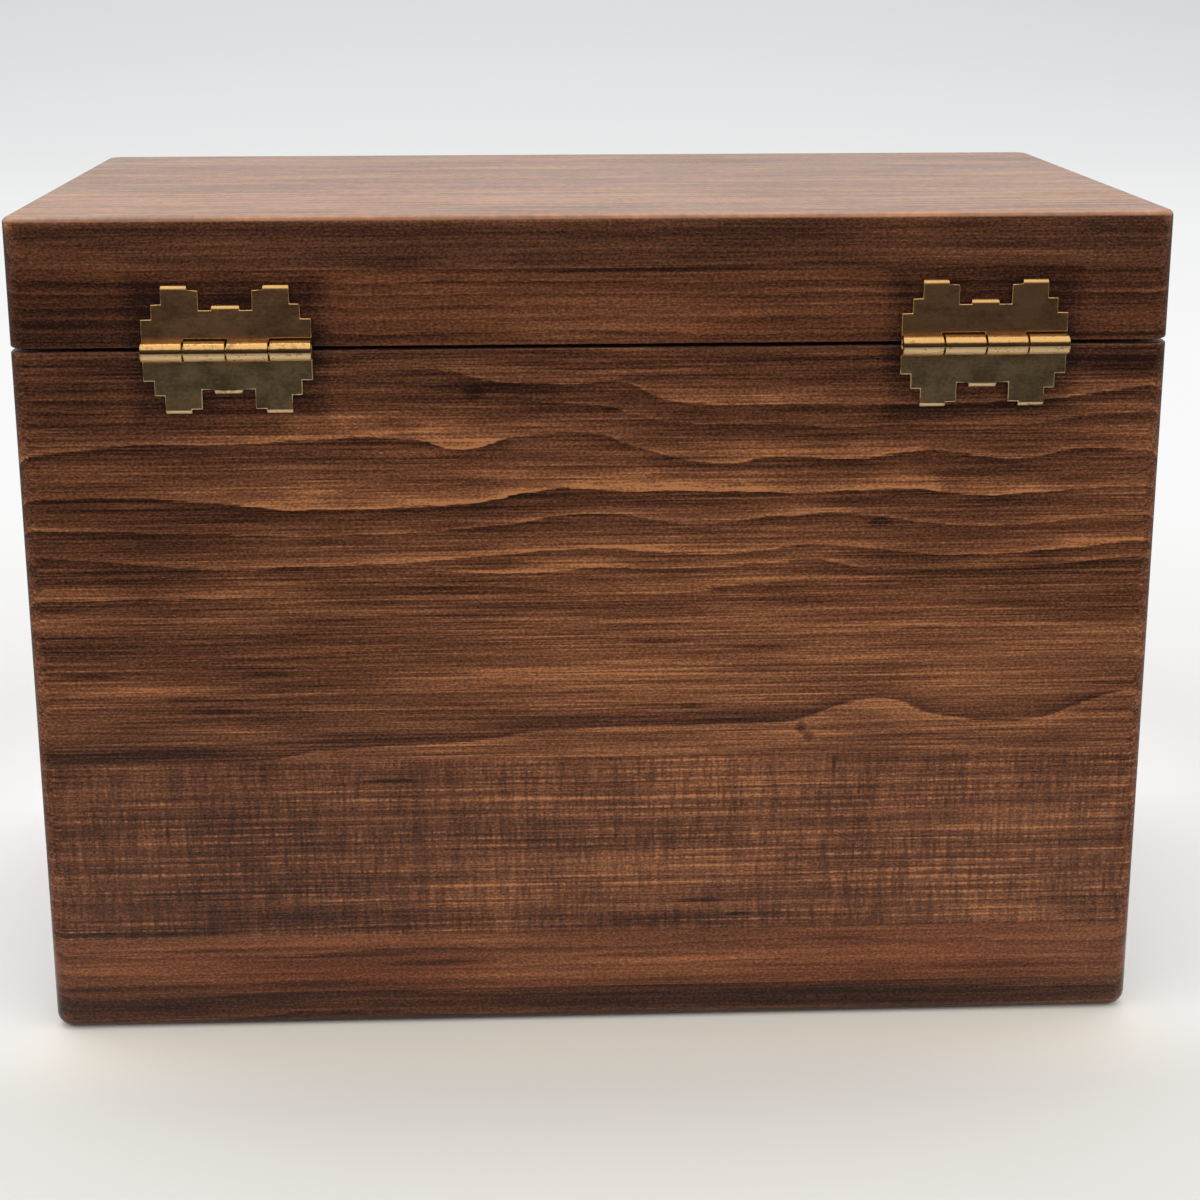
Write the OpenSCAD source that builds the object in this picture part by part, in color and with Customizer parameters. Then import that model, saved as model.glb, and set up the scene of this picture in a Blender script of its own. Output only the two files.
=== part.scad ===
// Hinged wooden box for recipe cards, standing on its bottom board.
// The origin is the middle of the bottom face, +Z is up, the front faces -Y
// and the two hinges are on the back, at +Y. Left and right are as seen from the front.

/* [Box] */
// Outside width of the wood
box_w = 173; // [150:1:220]
// Outside depth of the wood
box_d = 102.5; // [80:0.5:140]
// Outside height with the lid shut
box_h = 129; // [118:1:150]
// Thickness of the walls and of the lid's rails
wall_t = 7.2; // [6:0.1:9]
// Thickness of the bottom board
bottom_t = 6; // [5:0.5:9]
// Thickness of the lid's top board
top_t = 7.8; // [5:0.1:8]
// Rounding of the four upright corners
corner_r = 3; // [2.6:0.1:3.4]
// Rounding of the lower edge
bottom_r = 2.5; // [1:0.1:2.5]
// Rounding of the lid's upper edge
top_r = 0.9; // [0.4:0.1:2]

/* [Lid] */
// Height of the parting line between body and lid
part_z = 109.6; // [100:0.1:110]
// Gap that the hinges leave between the two rims
part_gap = 0.5; // [0.3:0.1:0.8]
// Rounding of the two rims' outer edges
part_r = 0.4; // [0.2:0.1:0.6]

/* [Boards] */
// Height of the seam between the lower and the middle stave
lower_seam_z = 15.5; // [12:0.5:25]
// Height of the seam between the middle and the upper stave
upper_seam_z = 45; // [35:0.5:70]
// Share of a front or back board's thickness that laps over the side board's end
lap_share = 0.5; // [0.48:0.01:0.6]

/* [Hinges] */
// Middle of the left hinge, from the middle of the box
left_hinge_x = -58.2; // [-65:0.1:-40]
// Middle of the right hinge, from the middle of the box
right_hinge_x = 54.3; // [40:0.1:65]
// Length of the barrel, which is the width of a leaf
hinge_w = 25; // [22:0.5:28]
// Thickness of the brass sheet
sheet_t = 0.7; // [0.6:0.05:0.7]
// Outside radius of the knuckles
knuckle_r = 1.5; // [1.45:0.05:1.5]
// Radius of the pin
pin_r = 0.75; // [0.6:0.05:0.75]
// Running clearance round the pin in the lid's knuckles
pin_play = 0.05; // [0.03:0.01:0.08]
// Gap between neighbouring knuckles
knuckle_gap = 0.2; // [0.15:0.05:0.4]
// Depth to which the prongs are driven into the wood
prong_depth = 5.5; // [4:0.5:5.5]

/* [Hidden] */
$fn = 96;

walnut = "#63402c";
dark_walnut = "#52331f";
light_walnut = "#6b4330";
aged_brass = "#7d6a42";
bright_brass = "#c99d55";

// Rims of the body and of the lid, on either side of the parting line
body_rim_z = part_z - part_gap / 2;
lid_rim_z = part_z + part_gap / 2;
lid_h = box_h - lid_rim_z;
top_seam_z = box_h - top_t;
lap_t = wall_t * lap_share;

// The barrel stands just clear of the wood, on the parting line
barrel_y = box_d / 2 + knuckle_r + 0.1;
knuckle_count = 4;
knuckle_w = (hinge_w - (knuckle_count - 1) * knuckle_gap) / knuckle_count;
pin_inset = 0.2;

// Leaf outline: half widths, and heights above the axis of the barrel
leaf_root = 0.3;
knuckle_relief = knuckle_r + 0.15;
shoulder_w = 10.9;
ear_w = 9.4;
notch_w = 3.9;
first_step = 4.6;
second_step = 6.8;
ear_end = 8.85;
notch_end = 5.9;

// A prong bends off the edge of its leaf, about this outside radius
bend_r = sheet_t + 0.05;
edge_prong_w = 3.9;
middle_prong_w = 4.2;
prong_tip = 1.6;
// Each prong's middle, its width and the height of the leaf's edge that it bends from
prongs = [
    [edge_prong_w / 2 - ear_w, edge_prong_w, ear_end],
    [0, middle_prong_w, notch_end],
    [ear_w - edge_prong_w / 2, edge_prong_w, ear_end],
];

// Where the curl of a knuckle comes back to the face of its leaf, a thin seam stays open.
// It stops short of the bore.
seam_t = 0.12;
seam_root = 0.35;

// Section through an upright side, from the middle of a corner's rounding outwards:
// x runs to corner_r at the outer face, and both ends are rounded over.
module edge_section(height, low_r, high_r) {
    translate([0, low_r]) square([corner_r, height - low_r - high_r]);
    square([corner_r - low_r, low_r]);
    translate([corner_r - low_r, low_r]) mirror([0, 1]) quarter_disc(low_r);
    translate([0, height - high_r]) square([corner_r - high_r, high_r]);
    translate([corner_r - high_r, height - high_r]) quarter_disc(high_r);
}

// Quarter of a disc, with its corner at the origin
module quarter_disc(r) {
    intersection() {
        circle(r);
        square(r);
    }
}

// Block with the box's plan whose upright, lower and upper edges are all rounded
module rounded_block(height, low_r, high_r) {
    translate([corner_r - box_w / 2, corner_r - box_d / 2, 0])
        cube([box_w - 2 * corner_r, box_d - 2 * corner_r, height]);
    for (side = [0:3]) {
        along = side % 2 == 0 ? box_w : box_d;
        across = side % 2 == 0 ? box_d : box_w;
        rotate([0, 0, 90 * side]) {
            translate([corner_r - along / 2, across / 2 - corner_r, 0]) rotate([90, 0, 90])
                linear_extrude(along - 2 * corner_r) edge_section(height, low_r, high_r);
            translate([along / 2 - corner_r, across / 2 - corner_r, 0])
                rotate_extrude(angle = 90) edge_section(height, low_r, high_r);
        }
    }
}

// What lies between two heights of the shut box's rounded outer form
module body_layer(low_z, high_z) {
    intersection() {
        rounded_block(body_rim_z, bottom_r, part_r);
        translate([0, 0, low_z]) linear_extrude(high_z - low_z) children();
    }
}

module lid_layer(low_z, high_z) {
    intersection() {
        translate([0, 0, lid_rim_z]) rounded_block(lid_h, part_r, top_r);
        translate([0, 0, low_z]) linear_extrude(high_z - low_z) children();
    }
}

// Plan of the whole box
module full_plan() {
    square([box_w, box_d], center = true);
}

// Plan of a back board: full width, with a rabbet at each end for the side board
module back_plan() {
    end_x = box_w / 2;
    rabbet_x = end_x - wall_t;
    outer_y = box_d / 2;
    lap_y = outer_y - lap_t;
    inner_y = outer_y - wall_t;
    polygon([
        [-end_x, outer_y], [-end_x, lap_y], [-rabbet_x, lap_y], [-rabbet_x, inner_y],
        [rabbet_x, inner_y], [rabbet_x, lap_y], [end_x, lap_y], [end_x, outer_y],
    ]);
}

module front_plan() {
    mirror([0, 1]) back_plan();
}

// Plan of a side board, which ends in the rabbets of the front and back boards
module right_plan() {
    end_y = box_d / 2 - lap_t;
    translate([box_w / 2 - wall_t, -end_y]) square([wall_t, 2 * end_y]);
}

module left_plan() {
    mirror([1, 0]) right_plan();
}

module lower_stave() {
    body_layer(bottom_t, lower_seam_z) children();
}

module middle_stave() {
    body_layer(lower_seam_z, upper_seam_z) children();
}

module upper_stave() {
    body_layer(upper_seam_z, body_rim_z) children();
}

module lid_rail() {
    lid_layer(lid_rim_z, top_seam_z) children();
}

// Stepped outline of a leaf, standing on the barrel's axis: two shoulders, two ears and a
// notch between them
module leaf_outline() {
    half = hinge_w / 2;
    polygon([
        [-half, leaf_root], [half, leaf_root], [half, first_step],
        [shoulder_w, first_step], [shoulder_w, second_step], [ear_w, second_step],
        [ear_w, ear_end], [notch_w, ear_end], [notch_w, notch_end],
        [-notch_w, notch_end], [-notch_w, ear_end], [-ear_w, ear_end],
        [-ear_w, second_step], [-shoulder_w, second_step], [-shoulder_w, first_step],
        [-half, first_step],
    ]);
}

// Prongs in the leaf's own place: a quarter bend off the sheet's edge, then a flat leg that
// runs into the wood and ends in a chisel point
module leaf_prongs() {
    outer_z = bend_r;
    inner_z = bend_r - sheet_t;
    bend_y = sheet_t - bend_r;
    for (p = prongs)
        translate([p[0] - p[1] / 2, 0, p[2]]) rotate([90, 0, 90]) linear_extrude(p[1]) {
            translate([bend_y, 0]) quarter_disc(bend_r);
            polygon([
                [bend_y, outer_z], [prong_tip - prong_depth, outer_z],
                [-prong_depth, (outer_z + inner_z) / 2], [prong_tip - prong_depth, inner_z],
                [bend_y, inner_z],
            ]);
        }
}

// First end, along the barrel, of knuckle number i
function knuckle_x(i) = i * (knuckle_w + knuckle_gap) - hinge_w / 2;

// A leaf that lies on y = 0 and rises from the barrel. Its knuckles are every second one
// from number first, rolled from the sheet and bored to bore_r, and the sheet is cut back
// round the other leaf's.
module leaf(first, bore_r) {
    axis_y = barrel_y - box_d / 2;
    difference() {
        rotate([90, 0, 0]) translate([0, 0, -sheet_t]) linear_extrude(sheet_t) leaf_outline();
        for (i = [1 - first:2:knuckle_count - 1])
            translate([knuckle_x(i) - knuckle_gap, -1, 0])
                cube([knuckle_w + 2 * knuckle_gap, 2 * knuckle_r, knuckle_relief]);
    }
    for (i = [first:2:knuckle_count - 1])
        difference() {
            translate([knuckle_x(i), axis_y, 0]) rotate([0, 90, 0]) difference() {
                cylinder(r = knuckle_r, h = knuckle_w);
                translate([0, 0, -1]) cylinder(r = bore_r, h = knuckle_w + 2);
            }
            translate([knuckle_x(i) - 1, sheet_t, seam_root])
                cube([knuckle_w + 2, seam_t, knuckle_r]);
        }
    leaf_prongs();
}

// Puts a hinge's own frame on the back of the box, with the barrel on the parting line
module at_hinge(x) {
    translate([x, box_d / 2, part_z]) children();
}

module lid_leaf(x) {
    color(aged_brass) at_hinge(x) leaf(1, pin_r + pin_play);
}

module body_leaf(x) {
    color(aged_brass) at_hinge(x) mirror([0, 0, 1]) leaf(0, pin_r);
}

module hinge_pin(x) {
    color(bright_brass) translate([x, barrel_y, part_z]) rotate([0, 90, 0])
        cylinder(r = pin_r, h = hinge_w - 2 * pin_inset, center = true);
}

module bottom_board() {
    color(dark_walnut) body_layer(0, bottom_t) full_plan();
}

module front_lower_stave() {
    color(light_walnut) lower_stave() front_plan();
}

module front_middle_stave() {
    color(walnut) middle_stave() front_plan();
}

module front_upper_stave() {
    color(dark_walnut) upper_stave() front_plan();
}

module back_lower_stave() {
    color(light_walnut) lower_stave() back_plan();
}

module back_middle_stave() {
    color(walnut) middle_stave() back_plan();
}

// Slotted for the prongs of both body leaves
module back_upper_stave() {
    color(dark_walnut) difference() {
        upper_stave() back_plan();
        for (x = [left_hinge_x, right_hinge_x]) at_hinge(x) mirror([0, 0, 1]) leaf_prongs();
    }
}

module left_lower_stave() {
    color(light_walnut) lower_stave() left_plan();
}

module left_middle_stave() {
    color(walnut) middle_stave() left_plan();
}

module left_upper_stave() {
    color(dark_walnut) upper_stave() left_plan();
}

module right_lower_stave() {
    color(light_walnut) lower_stave() right_plan();
}

module right_middle_stave() {
    color(walnut) middle_stave() right_plan();
}

module right_upper_stave() {
    color(dark_walnut) upper_stave() right_plan();
}

module lid_front_rail() {
    color(walnut) lid_rail() front_plan();
}

// Slotted for the prongs of both lid leaves
module lid_back_rail() {
    color(walnut) difference() {
        lid_rail() back_plan();
        for (x = [left_hinge_x, right_hinge_x]) at_hinge(x) leaf_prongs();
    }
}

module lid_left_rail() {
    color(walnut) lid_rail() left_plan();
}

module lid_right_rail() {
    color(walnut) lid_rail() right_plan();
}

module lid_top_board() {
    color(light_walnut) lid_layer(top_seam_z, box_h) full_plan();
}

module left_hinge_body_leaf() {
    body_leaf(left_hinge_x);
}

module left_hinge_lid_leaf() {
    lid_leaf(left_hinge_x);
}

module left_hinge_pin() {
    hinge_pin(left_hinge_x);
}

module right_hinge_body_leaf() {
    body_leaf(right_hinge_x);
}

module right_hinge_lid_leaf() {
    lid_leaf(right_hinge_x);
}

module right_hinge_pin() {
    hinge_pin(right_hinge_x);
}

bottom_board();
front_lower_stave();
front_middle_stave();
front_upper_stave();
back_lower_stave();
back_middle_stave();
back_upper_stave();
left_lower_stave();
left_middle_stave();
left_upper_stave();
right_lower_stave();
right_middle_stave();
right_upper_stave();
lid_front_rail();
lid_back_rail();
lid_left_rail();
lid_right_rail();
lid_top_board();
left_hinge_body_leaf();
left_hinge_lid_leaf();
left_hinge_pin();
right_hinge_body_leaf();
right_hinge_lid_leaf();
right_hinge_pin();
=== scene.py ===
import math

import bpy
import numpy as np
from bpy.props import FloatProperty, FloatVectorProperty, PointerProperty
from mathutils import Matrix, Vector


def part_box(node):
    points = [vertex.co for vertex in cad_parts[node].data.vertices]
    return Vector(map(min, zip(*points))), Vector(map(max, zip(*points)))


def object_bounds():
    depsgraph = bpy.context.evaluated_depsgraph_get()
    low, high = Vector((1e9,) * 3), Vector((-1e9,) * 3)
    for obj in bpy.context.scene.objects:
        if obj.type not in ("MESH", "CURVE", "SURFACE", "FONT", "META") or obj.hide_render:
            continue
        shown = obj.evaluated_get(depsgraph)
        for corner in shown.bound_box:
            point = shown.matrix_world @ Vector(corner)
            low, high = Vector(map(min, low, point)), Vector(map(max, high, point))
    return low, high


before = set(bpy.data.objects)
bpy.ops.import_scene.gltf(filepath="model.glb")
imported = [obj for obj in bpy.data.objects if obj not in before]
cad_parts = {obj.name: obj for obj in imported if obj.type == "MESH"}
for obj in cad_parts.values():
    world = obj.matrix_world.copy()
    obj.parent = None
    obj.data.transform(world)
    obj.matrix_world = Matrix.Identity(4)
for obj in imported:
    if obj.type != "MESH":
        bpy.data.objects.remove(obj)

bl_info = {
    "name": "Recipe Card Box",
    "version": (1, 0, 0),
    "blender": (4, 5, 0),
    "location": "View3D > Sidebar > Recipe Box",
    "description": "Finish of a hinged recipe card box: stained pine, lacquer and stamped brass",
    "category": "Object",
}

# The frame and Blender are in metres. The figure of the wood is written in millimetres, and MM
# is how many of them make a metre.
MM = 1000.0
CAD_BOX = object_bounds()
HALF_WIDTH = CAD_BOX[1].x * MM
HALF_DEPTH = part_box("bottom_board")[1].y * MM
HEIGHT = CAD_BOX[1].z * MM
UPPER_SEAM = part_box("back_upper_stave")[0].z * MM
BODY_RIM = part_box("back_upper_stave")[1].z * MM

# For each side of the box: the axes along the grain of its boards, up them and through them, and
# where the heart line of their tree lies along the last, in mm
SIDES = {
    "front": ("xzy", -90),
    "back": ("xzy", 20),
    "left": ("yzx", -40),
    "right": ("yzx", 38),
}


def screen(red, green, blue):
    """Linear colour of a tone as it looks on a screen, where each part runs from 0 to 255."""
    parts = (part / 255 for part in (red, green, blue))
    return tuple(p / 12.92 if p <= 0.04045 else ((p + 0.055) / 1.055) ** 2.4 for p in parts)


class WoodSettings(bpy.types.PropertyGroup):
    """Stain and lacquer of the boards."""

    deep: FloatVectorProperty(
        name="Deep stain", description="Darkest late streaks and pores", subtype="COLOR",
        default=screen(36, 17, 10), min=0, max=1)
    dark: FloatVectorProperty(
        name="Dark stain", description="Soft wood that took most stain", subtype="COLOR",
        default=screen(68, 38, 23), min=0, max=1)
    middle: FloatVectorProperty(
        name="Middle stain", description="Most of each board", subtype="COLOR",
        default=screen(100, 60, 37), min=0, max=1)
    light: FloatVectorProperty(
        name="Light stain", description="Hard growth lines", subtype="COLOR",
        default=screen(135, 86, 55), min=0, max=1)
    pale: FloatVectorProperty(
        name="Pale stain", description="Hardest lines, which took least stain", subtype="COLOR",
        default=screen(182, 121, 74), min=0, max=1)
    # Painted reflection: a pale film on the lid's upper face stands in for the pale room seen in
    # its lacquer.
    painted_sheen: FloatVectorProperty(
        name="Bloom", description="Thin pale film of old wax on the lid", subtype="COLOR",
        default=screen(214, 204, 196), min=0, max=1)
    painted_sheen_share: FloatProperty(
        name="Bloom share", description="How far the wax hides the lid's stain", subtype="FACTOR",
        default=0.11, min=0, max=1)
    fleck_depth: FloatProperty(
        name="Fleck depth", description="How much darker the flecks are, as a tone",
        subtype="FACTOR", default=0.18, min=0, max=1)
    end_grain_depth: FloatProperty(
        name="End grain depth", description="How much darker the boards' ends are, as a tone",
        subtype="FACTOR", default=0.16, min=0, max=1)
    # Painted contact shade and dirt: how much darker the wood round the hinges is.
    hinge_shade_and_dirt_depth: FloatProperty(
        name="Grime depth", description="How much darker the wood round the hinges is, as a tone",
        subtype="FACTOR", default=0.26, min=0, max=1)
    # Paler arrises: wear, and on the lid a painted highlight along its arrises and painted glints
    # in its upper corners.
    wear_and_highlight_lift: FloatProperty(
        name="Rub lift", description="How much paler a rubbed arris is, as a tone",
        subtype="FACTOR", default=0.16, min=0, max=1)
    lacquer_roughness: FloatProperty(
        name="Lacquer roughness", description="Roughness of the satin lacquer", subtype="FACTOR",
        default=0.25, min=0, max=1)
    grain_depth: FloatProperty(
        name="Grain depth", description="Height of the fibres that show through the lacquer",
        subtype="DISTANCE", unit="LENGTH", default=0.00002, min=0, max=0.0005, precision=6)


class BrassSettings(bpy.types.PropertyGroup):
    """Finish of the hinges."""

    lid_leaf: FloatVectorProperty(
        name="Lid leaf", description="Browned brass of the leaves on the lid", subtype="COLOR",
        default=screen(168, 130, 96), min=0, max=1)
    body_leaf: FloatVectorProperty(
        name="Body leaf", description="Olive brass of the leaves on the box", subtype="COLOR",
        default=screen(162, 140, 106), min=0, max=1)
    # Brass of rubbed edges and knuckles: wear, and it also paints their highlight.
    bright: FloatVectorProperty(
        name="Bright brass", description="Brass where it is rubbed bright", subtype="COLOR",
        default=screen(214, 169, 106), min=0, max=1)
    # Painted reflection of the pale floor, on bright brass that faces down.
    painted_floor_reflection: FloatVectorProperty(
        name="Shaded brass", description="Bright brass on the side that faces down",
        subtype="COLOR", default=screen(250, 218, 168), min=0, max=1)
    tarnish: FloatVectorProperty(
        name="Tarnish", description="Brown film in patches", subtype="COLOR",
        default=screen(84, 58, 36), min=0, max=1)
    roughness: FloatProperty(
        name="Brass roughness", description="Roughness of the flat faces", subtype="FACTOR",
        default=0.36, min=0, max=1)
    edge_radius: FloatProperty(
        name="Edge radius", description="Rounding that the stamping die leaves on the edges",
        subtype="DISTANCE", unit="LENGTH", default=0.00018, min=0, max=0.0003, precision=6)
    scratch_depth: FloatProperty(
        name="Scratch depth", description="Height of the pits and scratches in the brass",
        subtype="DISTANCE", unit="LENGTH", default=0.00002, min=0, max=0.0005, precision=6)


class StageSettings(bpy.types.PropertyGroup):
    """Camera, light and floor."""

    camera_place: FloatVectorProperty(
        name="Camera place", description="Where the camera stands", subtype="XYZ",
        unit="LENGTH", default=(0.0145, 0.3925, 0.1668))
    camera_aim: FloatVectorProperty(
        name="Camera aim", description="Point of the back that is in the picture's middle",
        subtype="XYZ", unit="LENGTH", default=(-0.0007, 0.0513, 0.0704))
    camera_roll: FloatProperty(
        name="Camera roll", description="Turn of the camera about its own axis",
        subtype="ANGLE", unit="ROTATION", default=math.radians(-0.09))
    lens: FloatProperty(
        name="Lens", description="Focal length on a 36 mm wide sensor", unit="CAMERA",
        default=69.5, min=20, max=200)
    floor: FloatVectorProperty(
        name="Floor", description="Colour of the floor", subtype="COLOR",
        default=screen(214, 212, 209), min=0, max=1)
    dim_side: FloatVectorProperty(
        name="Dim side", description="Colour of the floor where gloss sees it dim",
        subtype="COLOR", default=screen(100, 94, 88), min=0, max=1)
    lamp_power: FloatProperty(
        name="Lamp power", description="Power of the soft lamp overhead", unit="POWER",
        default=2.6, min=0, max=50)
    sky_high: FloatProperty(
        name="Light overhead", description="Strength of the room's light from above",
        default=1.25, min=0, max=3)
    sky_low: FloatProperty(
        name="Light at the horizon", description="Strength of the room's light from the sides",
        default=0.72, min=0, max=3)


class Field:
    """A number at every point of a surface, carried by the output of a shader node."""

    def __init__(self, net, socket):
        self.net = net
        self.socket = socket

    def __add__(self, other):
        return self.net.math("ADD", self, other)

    def __radd__(self, other):
        return self.net.math("ADD", other, self)

    def __sub__(self, other):
        return self.net.math("SUBTRACT", self, other)

    def __rsub__(self, other):
        return self.net.math("SUBTRACT", other, self)

    def __mul__(self, other):
        return self.net.math("MULTIPLY", self, other)

    def __rmul__(self, other):
        return self.net.math("MULTIPLY", other, self)

    def __truediv__(self, other):
        return self.net.math("DIVIDE", self, other)

    def __abs__(self):
        return self.net.math("ABSOLUTE", self)


class Net:
    """Writes the nodes of one material or world as formulas on fields."""

    def __init__(self, tree):
        self.tree = tree

    def node(self, kind, **settings):
        """A new node of a kind, with the given settings."""
        made = self.tree.nodes.new(kind)
        for name, value in settings.items():
            setattr(made, name, value)
        return made

    def feed(self, socket, value):
        """Links a field to a socket, or sets the socket to a plain number or colour."""
        if isinstance(value, Field):
            self.tree.links.new(value.socket, socket)
        elif hasattr(value, "__len__") and len(socket.default_value) > len(value):
            socket.default_value = (*value, 1.0)
        else:
            socket.default_value = value

    def math(self, operation, *values, clamp=False):
        """The result of a sum on fields and numbers, cut to 0 to 1 with clamp."""
        made = self.node("ShaderNodeMath", operation=operation, use_clamp=clamp)
        for socket, value in zip(made.inputs, values):
            self.feed(socket, value)
        return Field(self, made.outputs[0])

    def larger(self, first, second):
        return self.math("MAXIMUM", first, second)

    def smaller(self, first, second):
        return self.math("MINIMUM", first, second)

    def root(self, field):
        return self.math("SQRT", field)

    def decay(self, field):
        """e to the power of the field: 1 at 0, and near 0 where the field is well below 0."""
        return self.math("EXPONENT", field)

    def parts(self, socket):
        """The three numbers of a vector socket."""
        made = self.node("ShaderNodeSeparateXYZ")
        self.tree.links.new(socket, made.inputs[0])
        return [Field(self, part) for part in made.outputs]

    def place(self):
        """Object coordinates in millimetres."""
        coordinates = self.node("ShaderNodeTexCoord").outputs["Object"]
        return [part * MM for part in self.parts(coordinates)]

    def facing(self):
        """How far the surface faces along the object's x, y and z, each from -1 to 1."""
        normal = self.node("ShaderNodeTexCoord").outputs["Normal"]
        return dict(zip("xyz", self.parts(normal)))

    def noise(self, point, detail=2.0, roughness=0.5):
        """Smooth noise about 0, with one lump for each unit of the point."""
        made = self.node("ShaderNodeTexNoise", noise_dimensions="3D")
        joined = self.node("ShaderNodeCombineXYZ")
        for socket, value in zip(joined.inputs, point):
            self.feed(socket, value)
        self.tree.links.new(joined.outputs[0], made.inputs["Vector"])
        made.inputs["Scale"].default_value = 1.0
        made.inputs["Detail"].default_value = detail
        made.inputs["Roughness"].default_value = roughness
        return Field(self, made.outputs[0]) - 0.5

    def chance(self, number):
        """A random share from 0 to 1 for each whole number."""
        made = self.node("ShaderNodeTexWhiteNoise", noise_dimensions="1D")
        self.feed(made.inputs["W"], number)
        return Field(self, made.outputs["Value"])

    def rise(self, field, low, high):
        """0 below low, 1 above high and a smooth step in between; low may be the larger."""
        made = self.node("ShaderNodeMapRange", interpolation_type="SMOOTHSTEP")
        self.feed(made.inputs["Value"], field)
        made.inputs["From Min"].default_value = low
        made.inputs["From Max"].default_value = high
        return Field(self, made.outputs["Result"])

    def curve(self, field, points):
        """A smooth curve through points, all from 0 to 1 both ways."""
        made = self.node("ShaderNodeFloatCurve")
        line = made.mapping.curves[0]
        line.points[0].location = points[0]
        line.points[1].location = points[-1]
        for point in points[1:-1]:
            line.points.new(*point)
        made.mapping.update()
        self.feed(made.inputs["Value"], field)
        return Field(self, made.outputs[0])

    def ramp(self, field, stops):
        """Colour that runs through stops, each a position and a colour."""
        made = self.node("ShaderNodeValToRGB")
        elements = made.color_ramp.elements
        while len(elements) < len(stops):
            elements.new(1.0)
        for element, (position, colour) in zip(elements, stops):
            element.position = position
            element.color = (*colour, 1.0)
        self.feed(made.inputs[0], field)
        return Field(self, made.outputs[0])

    def mix(self, share, first, second, blend="MIX"):
        """Colour first where share is 0 and second where it is 1. The node's sockets for
        numbers and vectors come before those for colours."""
        made = self.node("ShaderNodeMix", data_type="RGBA", blend_type=blend)
        self.feed(made.inputs[0], share)
        self.feed(made.inputs[6], first)
        self.feed(made.inputs[7], second)
        return Field(self, made.outputs[2])

    def relief(self, shader, height, depth):
        """Fine bumps in the shader's surface, depth metres high where height is 1."""
        bump = self.node("ShaderNodeBump")
        bump.inputs["Strength"].default_value = 1.0
        bump.inputs["Distance"].default_value = depth
        self.feed(bump.inputs["Height"], height)
        self.tree.links.new(bump.outputs["Normal"], shader.inputs["Normal"])


def new_finish(name):
    """An empty node material, its net and its shader."""
    material = bpy.data.materials.new(name)
    material.use_nodes = True
    return material, Net(material.node_tree), material.node_tree.nodes["Principled BSDF"]


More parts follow.
